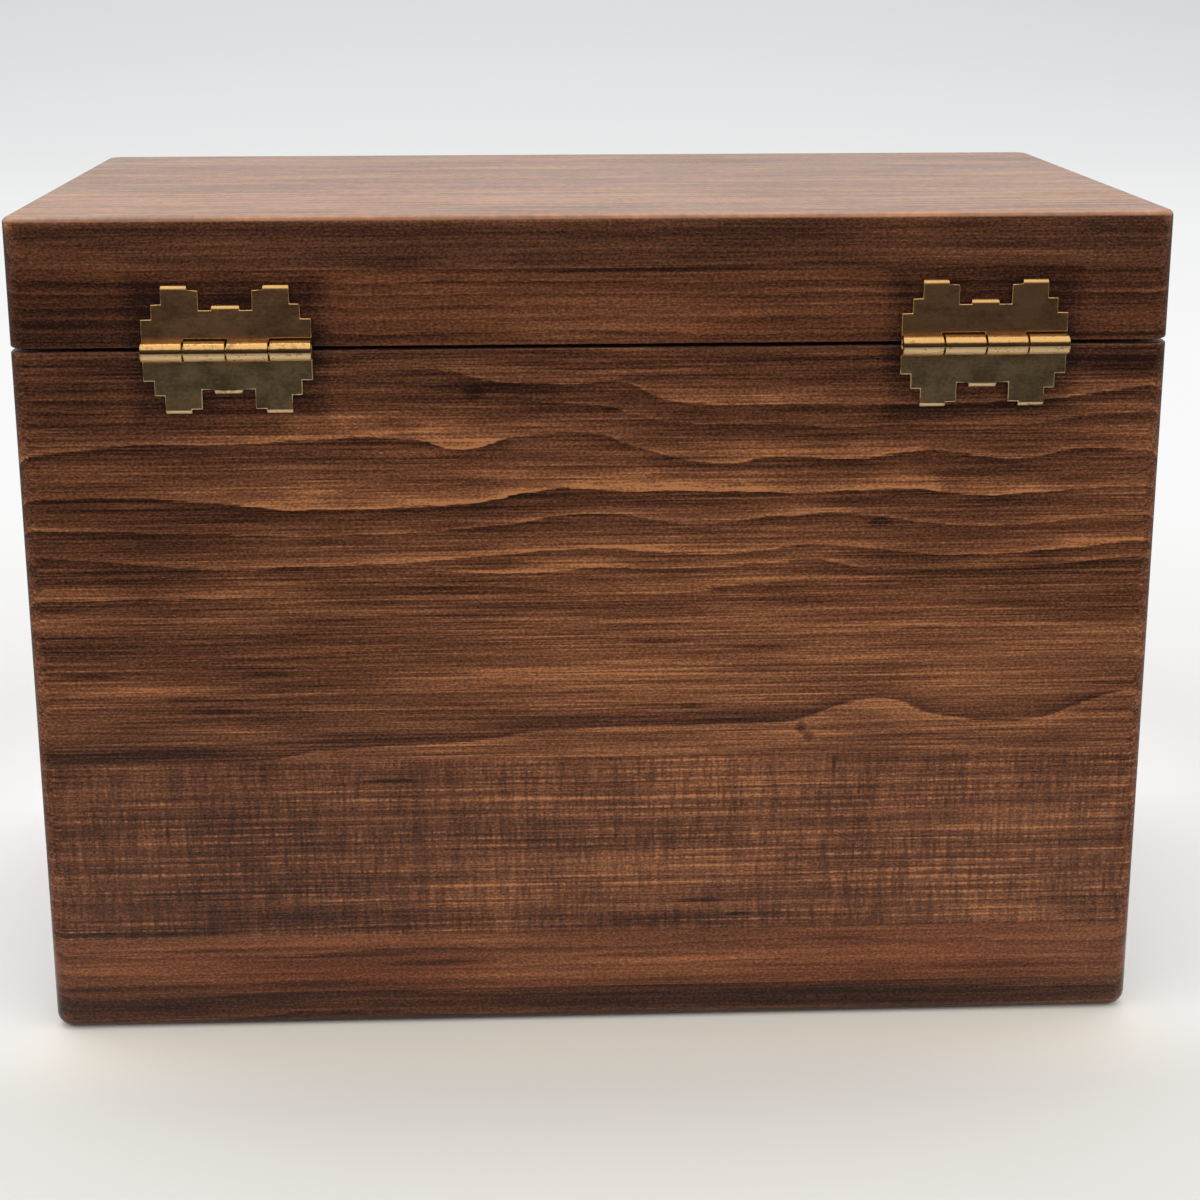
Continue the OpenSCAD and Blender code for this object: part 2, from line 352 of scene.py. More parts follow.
class Wood:
    """The solid figure of one board: u along the grain, v up its face, w through it, in mm."""

    def __init__(self, net, axes, seed):
        place = dict(zip("xyz", net.place()))
        self.net = net
        self.place = place
        self.u, self.v, self.w = (place[axis] for axis in axes)
        self.seed = seed

    def noise(self, along, across, detail=2.0, roughness=0.5, layer=0):
        """Noise about 0 whose lumps are along mm long, and across mm high and deep. Each layer
        has its own."""
        shift = 17.3 * self.seed + 5.1 * layer
        point = (self.u / along + shift, self.v / across, self.w / across)
        return self.net.noise(point, detail, roughness)

    def fibres(self, streak):
        """Specks and broad bands, with hairs and fine streaks that are streak times as strong."""
        speck = self.noise(0.5, 0.3, detail=1, layer=7)
        hair = self.noise(15, 0.24, detail=1, layer=0)
        fine = self.noise(26, 0.45, detail=2, roughness=0.6, layer=1)
        middle = self.noise(60, 1.5, detail=2, layer=2)
        mottle = self.noise(38, 13, detail=2, layer=3)
        return (speck * 0.8 + middle * 0.5 + mottle * 0.4
                + (hair * 0.7 + fine * 0.75) * streak)

    def polished(self):
        """The softer grain of the lid's upper face: faint specks and hairs, long streaks and
        broad bands."""
        speck = self.noise(1.2, 2.2, detail=1, layer=7)
        hair = self.noise(12, 2.2, detail=1, layer=0)
        streaks = self.noise(36, 4.5, detail=2, roughness=0.6, layer=1)
        bands = self.noise(55, 6, detail=2, roughness=0.55, layer=33)
        return speck * 0.3 + hair * 0.3 + streaks * 0.45 + bands * 0.3

    def painted_sheen(self):
        """Share of a painted pale reflection on the lid's upper face, in streaks and clouds."""
        streaks = self.noise(42, 3.0, detail=3, roughness=0.6, layer=34)
        clouds = self.noise(55, 16, detail=2, roughness=0.55, layer=35)
        return self.net.rise(streaks * 0.8 + clouds, -0.45, 0.45)

    def feather(self):
        """How far each fibre pulls a growth line's edge aside, in mm."""
        long = self.noise(11, 0.5, detail=2, roughness=0.6, layer=15)
        short = self.noise(3.5, 0.22, detail=1, layer=16)
        return long * 0.9 + short * 0.6

    def flecks(self):
        """Short dark lines, where noise drawn out along the grain is highest."""
        lines = self.noise(9, 0.5, detail=1, layer=4)
        return self.net.rise(lines, 0.26, 0.35)

    def rings(self, heart, spacing, wobble, light_w, dark_w, light_share=0.42, dark_share=0.26):
        """Growth rings, spacing mm apart, about a heart line at heart (v, w), which waves along
        the grain by about wobble. Just outside each ring's edge the wood is hard and pale, fading
        over light_w, and just inside it is dark, over dark_w. The shares are the strengths of
        the two."""
        wave = self.noise(64, 40, layer=5) * (2.4 * wobble) + self.noise(24, 24, layer=6) * wobble
        up = self.v - heart[0]
        through = self.w - heart[1]
        radius = self.net.root(up * up + through * through) + wave + self.feather()
        uneven = self.noise(400, spacing * 2.2, detail=0, layer=8) * 0.9
        count = radius / spacing + uneven
        ring = self.net.math("FLOOR", count)
        part = (count - ring) * spacing
        strength = self.net.chance(ring + 31.0 * self.seed) * 0.75 + 0.25
        fade = self.net.rise(self.noise(30, 6, layer=9), -0.22, 0.12)
        light = self.net.decay(part / -light_w) * self.net.rise(part, 0.0, 0.22)
        dark = self.net.decay((part - spacing) / dark_w)
        return (light * light_share * (fade * 0.8 + 0.2) - dark * dark_share) * strength

    def combed(self):
        """Quarter-sawn figure: thin pale lines about 1.35 mm apart that come and go, crossed by
        short marks and broad columns. The lines' mean tone is taken off again."""
        spacing, mean_tone = 1.35, 0.045
        wave = self.noise(90, 30, layer=10) * 3.0
        count = (self.v + wave) / spacing + self.noise(300, 3.1, detail=0, layer=11) * 1.1
        ring = self.net.math("FLOOR", count)
        off_middle = abs(count - ring - 0.5)
        line = self.net.rise(off_middle, 0.22, 0.03)
        come_and_go = self.net.rise(self.noise(24, 1.3, detail=2, layer=12), -0.20, 0.14)
        cross = self.noise(0.55, 5.0, detail=2, roughness=0.65, layer=13)
        columns = self.noise(2.4, 14.0, detail=2, roughness=0.6, layer=14)
        broken = self.net.rise(cross, -0.14, 0.10)
        lines = line * come_and_go * (broken * 0.27 + 0.09) - mean_tone
        return lines + cross * 0.50 + columns * 0.34


def carried_on(points):
    """Points (s, value), carried on level to both ends of the back, with s as a share of its
    width."""
    width = 2 * HALF_WIDTH
    first, last = points[0], points[-1]
    inner = [(s / width, value) for s, value in points if s > 0]
    return [(0, first[1]), *inner, (1, last[1])]


def line_height(net, share, points):
    """Height in mm of a listed growth line, at a share of the way along the back."""
    rise = BODY_RIM - UPPER_SEAM
    return UPPER_SEAM + rise * net.curve(share, [
        (along, (height - UPPER_SEAM) / rise) for along, height in carried_on(points)])


# Growth lines of the back's upper stave, from its top down. Each runs through points (s, z) in
# mm, with s from the right-hand end of the back towards the left-hand end. Its glow, in points
# (s, share), says how strongly it shows along its way. Then come how far its pale side and its
# dark side fade, in mm, and their strengths.
GROWTH_LINES = (
    (((46, 106.4), (58, 106.3), (64, 106.2), (70, 104.7), (76, 104), (85, 103.9), (90, 104.2),
      (97, 101.5), (104, 100.6), (116, 100.6), (142, 100.4), (158, 101.2), (172, 103)),
     ((42, 0), (50, 0.3), (70, 0.5), (75, 1), (90, 0.9), (94, 0.4), (98, 0.9), (104, 0.9),
      (108, 0.4), (113, 0.8), (120, 0.8), (126, 0.4), (142, 0.5), (150, 0.8), (172, 0.6)),
     1.7, 2.08, 0.44, 0.22),
    (((74, 101.4), (84, 101), (88, 100.5), (94, 98.7), (100, 97.7), (116, 97.5), (124, 96.9),
      (135, 97.4), (152, 97.1), (160, 98.2), (172, 99)),
     ((70, 0), (78, 0.5), (84, 0.7), (94, 0.4), (104, 0.8), (116, 0.5), (124, 0.8), (150, 0.5),
      (172, 0.6)),
     0.7, 1.12, 0.30, 0.18),
    (((0, 93.4), (10, 94.6), (18, 95.3), (31, 95.2), (42, 95.8), (55, 96.1), (60, 95.6),
      (66, 94.2), (69, 94.5), (74, 95.9), (87, 96.2), (92, 94.5), (99, 92.5), (107, 91.6),
      (113, 92.5), (126, 92), (135, 93.1), (141, 93), (146, 92.1), (153, 91.9), (158, 93.1),
      (172, 92.8)),
     ((0, 0.8), (22, 0.8), (38, 0.6), (43, 1), (54, 1), (58, 0.6), (62, 1), (70, 1), (76, 0.4),
      (104, 0.6), (113, 0.9), (133, 0.9), (140, 0.4), (146, 0.7), (172, 0.5)),
     1.4, 1.92, 0.50, 0.28),
    (((0, 87), (14, 87.2), (28, 86.4), (40, 85.1), (60, 85.6), (71, 86.2), (76, 87.5), (82, 88),
      (90, 87.4), (105, 87.3), (118, 86.8), (136, 87.2), (145, 86.1), (155, 86.5), (165, 87.3),
      (172, 87.3)),
     ((0, 0.4), (30, 0.6), (38, 1), (108, 1), (118, 0.7), (134, 1), (138, 1), (141, 0.5),
      (144, 0.9), (150, 0.9), (156, 0.5), (172, 0.3)),
     1.9, 1.84, 0.60, 0.30),
    (((0, 82.5), (15, 81.9), (28, 81.5), (40, 81), (60, 81.4), (72, 82.3), (82, 83.7), (91, 83.8),
      (97, 82.6), (105, 82.3), (114, 83.2), (124, 83.7), (131, 82.9), (140, 81.7), (153, 81.6),
      (162, 82.5), (172, 82.9)),
     ((0, 0.8), (30, 0.9), (60, 0.8), (80, 0.9), (100, 0.6), (120, 0.9), (140, 0.6), (172, 0.6)),
     0.8, 1.36, 0.40, 0.24),
    (((0, 78.3), (14, 77.3), (28, 76.1), (45, 76.2), (60, 76.9), (75, 77.9), (86, 78.6),
      (95, 78), (103, 77.4), (112, 78), (120, 78.8), (128, 78.1), (136, 77.1), (147, 76.8),
      (160, 77.7), (172, 78.8)),
     ((0, 0.4), (40, 0.5), (70, 0.7), (76, 1), (96, 1), (104, 0.5), (134, 0.5), (140, 1),
      (160, 1), (172, 0.5)),
     0.9, 1.52, 0.42, 0.26),
    (((62, 75.2), (80, 74.9), (86, 75.5), (95, 75.2), (110, 75.7), (121, 76.2), (128, 75),
      (145, 74.8), (155, 75), (163, 75.8), (172, 76.4)),
     ((57, 0), (62, 0.6), (67, 1), (122, 1), (130, 0.4), (155, 0.5), (160, 1), (172, 1)),
     0.8, 1.12, 0.34, 0.20),
    (((50, 72.8), (68, 72.9), (85, 71.5), (95, 71.2), (104, 71.8), (111, 72.8), (125, 73.2),
      (172, 73.4)),
     ((46, 0), (52, 0.4), (80, 0.5), (85, 1), (110, 1), (116, 0.5), (150, 0.2), (158, 0)),
     1.3, 1.28, 0.26, 0.14),
    (((0, 71.2), (25, 71.3), (40, 71.3)), ((0, 1), (30, 0.9), (42, 0), (172, 0)),
     0.9, 1.12, 0.40, 0.20),
)

# The wavy edge above the upper seam, dark over its upper side and pale under it
LOW_EDGE = ((30, 45), (36, 45.3), (42, 46.4), (48, 46.9), (60, 47.4), (70, 48.1), (76, 49.2),
            (84, 49.8), (96, 50.1), (112, 50.2), (119, 50.8), (124, 52.7), (130, 53.9),
            (134, 53.3), (139, 51.3), (146, 50.2), (156, 50.3), (160, 51.6), (165, 53.3),
            (172, 55))

# Marks on the back's boards: middle (s, z), half length, half width and change of tone
UPPER_MARKS = (
    (8, 88, 30, 22, -0.13),
    (128, 61, 78, 12, 0.18),
    (90, 77, 90, 9, 0.07),
    (34, 62, 46, 5, -0.12),
    (104, 46.5, 26, 4, 0.18),
    (6, 68, 14, 2.5, 0.16),
    (10, 92, 22, 2.5, 0.16),
    (9, 59.1, 5.5, 0.4, -0.30),
    (36, 59.3, 5.0, 0.55, -0.26),
    (24, 55.4, 5.0, 0.6, -0.20),
    (29, 53.3, 6.0, 0.6, -0.20),
    (62, 58.8, 9.0, 0.35, -0.22),
    (97, 63.8, 6.5, 0.6, -0.24),
    (112, 62.5, 7.0, 0.45, -0.24),
    (132, 67.6, 7.0, 0.4, -0.28),
    (137, 65.3, 5.0, 0.35, -0.24),
    (101.5, 53.1, 2.4, 0.5, -0.26),
    (118.6, 49.2, 1.0, 1.1, -0.34),
    (119.8, 48.0, 1.1, 0.9, -0.34),
    (130, 82.1, 2.4, 0.9, -0.26),
    (68.5, 102.6, 2.0, 1.3, -0.26),
    (89, 100.0, 2.0, 0.6, -0.22),
    (167, 106.5, 12, 3.5, -0.30),
    (12, 46.5, 26, 2.0, -0.26),
    (87, 88.7, 1.8, 0.25, -0.30),
    (96, 88.2, 1.8, 0.22, -0.30),
    (108, 88.1, 2.2, 0.25, -0.30),
    (18, 74.4, 18, 0.35, -0.22),
    (64, 74.4, 11, 0.3, -0.22),
    (47, 98.6, 9, 1.3, 0.30),
    (62, 98.3, 7, 0.6, 0.14),
    (14, 57.2, 22, 1.6, 0.16),
    (131, 52.6, 6, 1.6, 0.14),
    (72, 59.5, 26, 4.5, 0.12),
    (92, 53, 22, 6, 0.12),
    (47, 97.3, 16, 2.5, -0.16),
    (9, 102.3, 10, 3.5, -0.14),
    (8, 65.2, 12, 2.5, -0.14),
)
MIDDLE_MARKS = (
    (145, 26, 60, 16, 0.05),
    (155, 33.1, 16, 3.2, 0.20),
    (98, 26.5, 20, 4, 0.18),
    (68, 24, 24, 6, 0.10),
    (150, 18, 18, 3, 0.16),
    (30, 30, 45, 16, -0.10),
    (115, 38, 58, 0.5, 0.20),
    (118, 40.3, 36, 0.4, 0.16),
    (30, 35.2, 34, 0.45, 0.18),
    (60, 27.4, 50, 0.4, 0.16),
    (12, 16.4, 22, 0.6, -0.34),
    (40, 18, 40, 2.2, -0.14),
    (100, 17.5, 20, 1.4, -0.16),
    (54, 41.5, 5, 0.4, -0.34),
    (103, 20.5, 5, 0.4, -0.34),
    (109, 18.1, 2.2, 0.35, -0.34),
    (112, 25.8, 0.3, 1.3, -0.30),
    (124, 43.3, 0.35, 1.4, -0.26),
    (168, 21.5, 0.3, 1.5, -0.28),
    (19.5, 33.2, 0.3, 1.6, -0.28),
)
LOWER_MARKS = (
    (125, 11, 70, 12, 0.08),
    (12, 11.5, 16, 2.6, 0.10),
    (26, 13.4, 26, 0.5, -0.24),
    (62, 10.6, 10, 0.6, -0.30),
    (46, 12.0, 14, 0.5, -0.20),
    (14, 7.2, 18, 0.6, -0.26),
    (42, 7.4, 14, 0.6, -0.24),
    (98, 11.2, 16, 0.5, -0.20),
    (120, 9.0, 20, 0.5, -0.12),
    (152, 8.2, 14, 0.9, -0.14),
)
RAIL_MARKS = (
    (6, 115, 24, 12, -0.20),
    (160, 115, 36, 9, -0.12),
    (90, 114, 56, 9, 0.10),
    (92, 120.9, 34, 0.5, -0.34),
    (80, 111.3, 10, 0.8, 0.18),
)


def marked(figure, marks):
    """The figure with listed marks: soft ovals on the back, each full in its middle and nothing
    past its half length and half width."""
    def with_marks(wood):
        net = wood.net
        s = HALF_WIDTH - wood.u
        z = wood.v + wood.noise(14, 1.5, layer=22) * 0.6
        total = figure(wood)
        for middle_s, middle_z, half_length, half_width, tone in marks:
            along = (s - middle_s) / half_length
            across = (z - middle_z) / half_width
            left = net.larger(1.0 - (along * along + across * across), 0.0)
            total = left * tone + total
        return total
    return with_marks


def line_sides(net, away, pale_w, dark_w, soft, narrow=1.0):
    """The pale and the dark side of a growth line, each 1 at the line. They fade over pale_w
    and dark_w mm, and meet over twice soft. away is the distance from the line, above 0 on the
    pale side, and narrow draws the pale side together where it is above 1."""
    pale = net.rise(away, -soft, soft)
    light_side = net.decay(net.larger(away, 0.0) * narrow / -pale_w) * pale
    dark_side = net.decay(net.smaller(away, 0.0) / dark_w) * (1.0 - pale)
    return light_side, dark_side


def laid_figure(wood):
    """The back's upper stave: listed growth lines that dip into the board with its depth, darker
    near the top and with fine threads low down."""
    net = wood.net
    s = HALF_WIDTH - wood.u
    share = s / (2 * HALF_WIDTH)
    depth = HALF_DEPTH - wood.w
    tremble = wood.noise(9, 2.2, detail=2, layer=20) * 0.5
    z = wood.v + depth * 0.8 + tremble + wood.feather()
    lively = wood.noise(9, 1.6, detail=2, layer=21) * 1.674 + 0.93
    narrow = wood.noise(13, 5.0, detail=1, layer=23) * 2.2 + 1.0
    total = net.rise(z, 97, 107) * -0.17
    for points, glow, pale_w, dark_w, light, dark in GROWTH_LINES:
        above = z - line_height(net, share, points)
        light_side, dark_side = line_sides(net, above, pale_w, dark_w, 0.14, narrow)
        shown = net.curve(share, carried_on(glow))
        shown_dark = net.math("MULTIPLY", shown, 1.8, clamp=True)
        line = light_side * shown * light - dark_side * shown_dark * dark
        total = line * lively + total
    below = line_height(net, share, LOW_EDGE) - z
    light_side, dark_side = line_sides(net, below, 2.2, 2.2, 0.2)
    total = (light_side * 0.24 - dark_side * 0.26) * net.rise(s, 26, 44) + total
    threads = wood.noise(26, 0.3, detail=1, layer=24)
    return threads * 0.5 * net.rise(z, 82, 74) + total


def arris_wear_and_highlight(wood):
    """How much paler the box's arrises are, by wear and by a painted highlight, broken up by
    noise: 1 along the upper and lower ones, 0 past about 2 mm from the upper and 3 mm from the
    lower, and up to 1.8 in the upper corners, where the painted highlight stands in for glints."""
    net = wood.net
    x, y, z = (wood.place[axis] for axis in "xyz")
    off_x = HALF_WIDTH - abs(x)
    off_y = HALF_DEPTH - abs(y)
    off_top = HEIGHT - z
    upper = net.smaller(net.larger(off_x, off_top), net.larger(off_y, off_top))
    lower = net.smaller(net.larger(off_x, z), net.larger(off_y, z))
    nearest = net.smaller(upper, lower * 0.7)
    ragged = nearest + net.noise((x / 5, y / 5, z / 5), detail=3, roughness=0.6) * 0.9
    corner = net.larger(net.larger(off_x, off_y), off_top)
    return net.rise(ragged, 1.9, 0.8) + net.rise(corner, 2.6, 0.8) * 0.8


def hinge_shade_and_dirt(wood):
    """1 round the hinges, for painted contact shade and dirt, and 0 past 4 mm from their leaves.
    """
    net = wood.net
    x, z = wood.place["x"], wood.place["z"]
    share = 0.0
    for side in ("left", "right"):
        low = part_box(f"{side}_hinge_body_leaf")[0] * MM
        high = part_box(f"{side}_hinge_lid_leaf")[1] * MM
        off_x = abs(x - (low.x + high.x) / 2) - (high.x - low.x) / 2
        off_z = abs(z - (low.z + high.z) / 2) - (high.z - low.z) / 2
        share = net.rise(net.larger(off_x, off_z), 4.0, -1.0) + share
    behind = net.rise(wood.place["y"], HALF_DEPTH - 3, HALF_DEPTH)
    return share * behind * (wood.noise(5, 2, detail=2, layer=32) * 1.2 + 0.9)


def wood_finish(name, axes, seed, figure, tone, tint, streak=1.0, wear_and_highlight=0.0, shade_and_dirt_round_hinges=False,
                painted_top_light=0.0, gloss=1.33):
    """Stained pine under satin lacquer. figure(wood) gives the board's own pattern as a tone about
    0, tone is its general depth from 0 (deep) to 1 (pale), tint leans its colour, streak is the
    strength of its fibres, rub bares its arrises and paints a highlight on them, grimy darkens it
    round the hinges with painted contact shade and dirt, painted_top_light paints light on what
    faces up, which is also polished and given a painted pale reflection, and gloss is the
    lacquer's index of refraction."""
    settings = bpy.context.scene.recipe_box_wood
    material, net, shader = new_finish(name)
    wood = Wood(net, axes, seed)
    facing = net.facing()
    fibres = wood.fibres(streak)
    # Arrises paler by wear and by a painted highlight.
    paler_by_wear_and_painted_light = arris_wear_and_highlight(wood) * (wear_and_highlight * settings.wear_and_highlight_lift) if wear_and_highlight else 0.0
    # Painted light: what faces up is made paler, a little more towards the back, and its grain is
    # polished.
    if painted_top_light:
        upward = net.rise(facing["z"], 0.1, 0.5)
        fibres = (wood.polished() - fibres) * upward + fibres
        painted_light_on_top = net.rise(wood.place["y"], -30, 55) * 0.10 + painted_top_light
        paler_by_wear_and_painted_light = upward * painted_light_on_top + (1.0 - upward) * paler_by_wear_and_painted_light
    end_grain = net.rise(abs(facing[axes[0]]), 0.75, 0.97)
    tones = (figure(wood) + fibres + tone - wood.flecks() * settings.fleck_depth
             - end_grain * settings.end_grain_depth + paler_by_wear_and_painted_light)
    # Darker round the hinges: painted contact shade, and dirt.
    if shade_and_dirt_round_hinges:
        tones = tones - hinge_shade_and_dirt(wood) * settings.hinge_shade_and_dirt_depth
    stain = net.ramp(tones, (
        (0.0, settings.deep), (0.25, settings.dark), (0.5, settings.middle),
        (0.75, settings.light), (1.0, settings.pale)))
    drift = net.rise(wood.noise(45, 9, detail=2, layer=30), -0.2, 0.2)
    stain = net.mix(drift * 0.6 + 0.5, stain, tint, blend="MULTIPLY")
    haze = wood.noise(22, 9, detail=3, layer=31) * 0.10
    roughness = haze + settings.lacquer_roughness
    if painted_top_light:
        # Painted reflection: a pale film in streaks and clouds on what faces up.
        stain = net.mix(upward * wood.painted_sheen() * settings.painted_sheen_share, stain, settings.painted_sheen)
        roughness = roughness - upward * fibres * 0.15
    net.feed(shader.inputs["Base Color"], stain)
    net.feed(shader.inputs["Roughness"], roughness)
    shader.inputs["IOR"].default_value = gloss
    net.relief(shader, fibres * 2.0, settings.grain_depth)
    return material


def wavy(*shape, **shares):
    """Plain-sawn figure with growth rings, whose measures are those of Wood.rings."""
    return lambda wood: wood.rings(*shape, **shares)


def put(material, *names):
    """Gives a material to CAD nodes, through the slots that their meshes have."""
    for name in names:
        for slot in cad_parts[name].material_slots:
            slot.material = material


class RECIPEBOX_OT_body_boards(bpy.types.Operator):
    """Finish the bottom board and the twelve staves of the box"""

    bl_idname = "recipe_box.body_boards"
    bl_label = "Body Boards"

    def execute(self, context):
        for number, (side, (axes, heart_w)) in enumerate(SIDES.items()):
            behind = side == "back"
            upper = wavy((12 - 9 * number, heart_w), 4.9, 1.9, 1.1, 2.2)
            middle = Wood.combed
            lower = wavy((-60 - 8 * number, heart_w), 2.9, 1.5, 0.6, 0.6, light_share=0.10,
                         dark_share=0.30)
            if behind:
                upper = marked(laid_figure, UPPER_MARKS)
                middle = marked(middle, MIDDLE_MARKS)
                lower = marked(lower, LOWER_MARKS)
            # On the back, grimy adds painted contact shade and dirt round the hinges.
            put(wood_finish(f"{side}_upper_pine", axes, 11 + number, upper, 0.50,
                            (1.0, 0.95, 0.91), shade_and_dirt_round_hinges=behind),
                f"{side}_upper_stave")
            put(wood_finish(f"{side}_middle_pine", axes, 21 + number, middle, 0.52,
                            (1.0, 0.96, 0.97), streak=0.85, shade_and_dirt_round_hinges=behind),
                f"{side}_middle_stave")
            put(wood_finish(f"{side}_lower_pine", axes, 31 + number, lower, 0.56,
                            (1.0, 0.83, 0.77), streak=0.45, shade_and_dirt_round_hinges=behind),
                f"{side}_lower_stave")
        bottom = wavy((-260, -230), 2.6, 1.2, 0.5, 1.2)
        put(wood_finish("bottom_pine", "xyz", 41, bottom, 0.25, (1.0, 0.95, 0.97), streak=0.6,
                        wear_and_highlight=0.5),
            "bottom_board")
        return {"FINISHED"}


class RECIPEBOX_OT_lid_boards(bpy.types.Operator):
    """Finish the lid's top board and its four rails"""

    bl_idname = "recipe_box.lid_boards"
    bl_label = "Lid Boards"

    def execute(self, context):
        for number, (side, (axes, _)) in enumerate(SIDES.items()):
            behind = side == "back"
            figure = wavy((-40 - 6 * number, 8), 1.9, 0.9, 0.35, 0.8)
            if behind:
                figure = marked(figure, RAIL_MARKS)
            # On the back, grimy adds painted contact shade and dirt round the hinges.
            put(wood_finish(f"{side}_rail_pine", axes, 51 + number, figure, 0.43,
                            (1.0, 0.91, 0.82), streak=0.55, shade_and_dirt_round_hinges=behind),
                f"lid_{side}_rail")
        top = wavy((-300, 90), 3.2, 1.6, 0.6, 1.6)
        # The top board: a painted highlight on its arrises, and painted light and a painted pale
        # reflection on its upper face.
        put(wood_finish("top_pine", "xyz", 61, top, 0.36, (0.97, 0.93, 0.88), streak=0.62,
                        wear_and_highlight=1.3, painted_top_light=0.45, gloss=1.42),
            "lid_top_board")
        return {"FINISHED"}


def add_modifier(obj, kind, **settings):
    """Adds a live modifier with the given settings."""
    modifier = obj.modifiers.new(kind.title(), kind)
    for name, value in settings.items():
        setattr(modifier, name, value)


def brass_finish(name, base, tarnish_share):
    """Stamped brass of a base colour: brown film in patches, more of it with a higher tarnish
    share, fine scratches, and edges and knuckles rubbed bright, which also paints their highlight,
    but for a brown line along the middle of the barrel, which stands proud of the leaf. Bright
    parts that face down take a paler colour, a painted reflection of the floor."""
    settings = bpy.context.scene.recipe_box_brass
    material, net, shader = new_finish(name)
    x, y, z = net.place()
    clouds = net.noise((x / 4.5, y / 4.5, z / 3.5), detail=4, roughness=0.6)
    specks = net.noise((x / 0.7, y / 0.7, z / 0.5), detail=3, roughness=0.7)
    scratches = net.noise((x / 6, y / 0.2, z / 0.09), detail=1)
    film = net.rise(clouds + specks * 0.4, 0.20 - tarnish_share, 0.32 - tarnish_share)
    colour = net.mix(film * 0.5, base, settings.tarnish)
    shade = net.rise(clouds * 0.8 + specks * 0.5 + scratches * 0.2, -0.22, 0.22)
    colour = net.mix(1.0, colour, shade * 0.58 + 0.62, blend="MULTIPLY")
    facing = net.facing()
    barrel = net.rise(y, HALF_DEPTH + 0.75, HALF_DEPTH + 0.95)
    edge = net.larger(net.rise(facing["y"], 0.999, 0.985), barrel)
    worn = net.rise(clouds * 0.7 + specks, -0.20, -0.06)
    tilt = facing["z"] + specks * 0.12
    line = net.rise(tilt, 0.40, 0.28) * net.rise(tilt, -0.14, -0.02) * barrel
    # Edges and knuckles rubbed bright: wear, and a painted highlight.
    rubbed_and_highlit = edge * (worn * 0.7 + 0.3) * (1.0 - line * 0.95)
    colour = net.mix(line * 0.85, colour, settings.tarnish)
    # Painted reflection of the pale floor: bright parts that face down take a paler colour.
    down = net.rise(facing["z"], -0.03, -0.12)
    bright = net.mix(down, settings.bright, settings.painted_floor_reflection)
    net.feed(shader.inputs["Base Color"], net.mix(rubbed_and_highlit, colour, bright))
    shader.inputs["Metallic"].default_value = 1.0
    roughness = clouds * 0.2 + specks * 0.12 + film * 0.1 + settings.roughness
    net.feed(shader.inputs["Roughness"], roughness - rubbed_and_highlit * 0.16 + rubbed_and_highlit * down * 0.3)
    net.relief(shader, scratches * 0.5 + specks, settings.scratch_depth)
    return material


class RECIPEBOX_OT_hinge_leaves(bpy.types.Operator):
    """Round the stamped edges of the four hinge leaves and give them their brass"""

    bl_idname = "recipe_box.hinge_leaves"
    bl_label = "Hinge Leaves"

    def execute(self, context):
        settings = context.scene.recipe_box_brass
        bases = {"lid": settings.lid_leaf, "body": settings.body_leaf}
        tarnish_shares = {"left_lid": 0.22, "left_body": 0.06, "right_lid": 0.12,
                          "right_body": 0.04}
        for side in ("left", "right"):
            for part, base in bases.items():
                brass = brass_finish(f"{side}_{part}_leaf_brass", base,
                                     tarnish_shares[f"{side}_{part}"])
                put(brass, f"{side}_hinge_{part}_leaf")
                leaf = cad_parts[f"{side}_hinge_{part}_leaf"]
                add_modifier(leaf, "WELD", merge_threshold=1e-6)
                add_modifier(leaf, "DECIMATE", decimate_type="DISSOLVE",
                             angle_limit=math.radians(1))
                add_modifier(leaf, "BEVEL", width=settings.edge_radius, segments=3,
                             limit_method="ANGLE", angle_limit=math.radians(34),
                             use_clamp_overlap=False)
                add_modifier(leaf, "WEIGHTED_NORMAL")
        return {"FINISHED"}


class RECIPEBOX_OT_hinge_pins(bpy.types.Operator):
    """Give the two hinge pins their drawn brass"""

    bl_idname = "recipe_box.hinge_pins"
    bl_label = "Hinge Pins"

    def execute(self, context):
        settings = context.scene.recipe_box_brass
        put(brass_finish("pin_brass", settings.bright, -0.1), "left_hinge_pin", "right_hinge_pin")
        return {"FINISHED"}


def grid_surface(name, points):
    """A mesh from an array of points in rows, with a face between each four neighbours."""
    rows, columns = points.shape[:2]
    corner = np.arange(rows * columns).reshape(rows, columns)
    faces = np.stack([corner[:-1, :-1], corner[1:, :-1], corner[1:, 1:], corner[:-1, 1:]], -1)
    mesh = bpy.data.meshes.new(name)
    mesh.from_pydata(points.reshape(-1, 3), [], faces.reshape(-1, 4).tolist())
    mesh.shade_smooth()
    obj = bpy.data.objects.new(name, mesh)
    bpy.context.scene.collection.objects.link(obj)
    return obj


def floor_points():
    """A floor that turns up into a wall: its profile runs level to a quarter circle of 0.9 m
    and then upright, and is carried straight across the room."""
    half_room, turn_y, radius, wall = 4.0, -1.4, 0.9, 2.6
    level_y = np.linspace(half_room, turn_y, 40)
    angle = np.linspace(0, math.pi / 2, 25)[1:]
    wall_z = np.linspace(radius, radius + wall, 12)[1:]
    wall_y = np.full_like(wall_z, turn_y - radius)
    profile_y = np.concatenate([level_y, turn_y - radius * np.sin(angle), wall_y])
    profile_z = np.concatenate([np.zeros_like(level_y), radius - radius * np.cos(angle), wall_z])
    across, y = np.meshgrid(np.linspace(-half_room, half_room, 33), profile_y)
    z = np.broadcast_to(profile_z[:, None], y.shape)
    return np.stack([across, y, z], -1)


